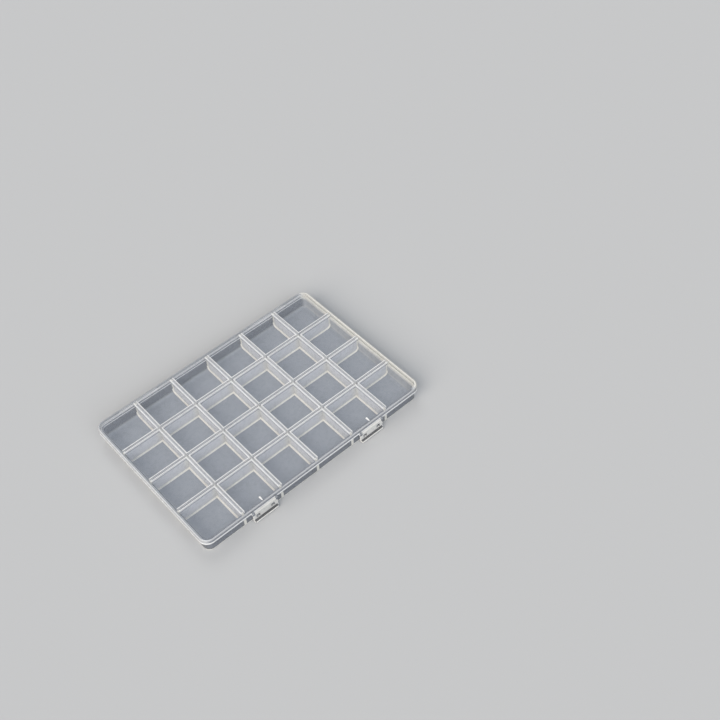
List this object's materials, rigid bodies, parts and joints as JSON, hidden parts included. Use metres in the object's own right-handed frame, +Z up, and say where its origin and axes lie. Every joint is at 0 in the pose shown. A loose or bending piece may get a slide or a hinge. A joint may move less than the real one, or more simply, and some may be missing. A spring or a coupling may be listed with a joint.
{
  "type": "compartment organizer",
  "caption": "Flat frosted-clear storage box with a fixed grid of small compartments, a hinged lid that seals each cell and snap clasps along the front.",
  "frame": {"origin": "centre of the tray's flat underside, under the middle of the cell grid", "axes": "+X along the length, to the right as seen from the clasps; -Y towards the clasps, +Y towards the hinges; +Z up"},
  "size_m": [0.19, 0.1342, 0.0153],
  "materials": {
    "tray_plastic": "frosted clear polypropylene",
    "lid_plastic": "frosted clear polypropylene",
    "clasp_plastic": "frosted clear polypropylene"
  },
  "bodies": {
    "tray": {"tray": "tray_plastic"},
    "lid": {"lid": "lid_plastic"},
    "clasp_left": {"clasp_left": "clasp_plastic"},
    "clasp_right": {"clasp_right": "clasp_plastic"}
  },
  "joints": [
    {"name": "lid_hinge", "type": "hinge", "parent": "tray", "child": "lid", "pos_m": [0, 0.06495, 0.0097], "axis": [-1, 0, 0], "range_deg": [0, 180]},
    {"name": "clasp_left_pivot", "type": "hinge", "parent": "lid", "child": "clasp_left", "pos_m": [-0.047, -0.06505, 0.0092], "axis": [-1, 0, 0], "range_deg": [0, 135]},
    {"name": "clasp_right_pivot", "type": "hinge", "parent": "lid", "child": "clasp_right", "pos_m": [0.047, -0.06505, 0.0092], "axis": [-1, 0, 0], "range_deg": [0, 135]}
  ]
}
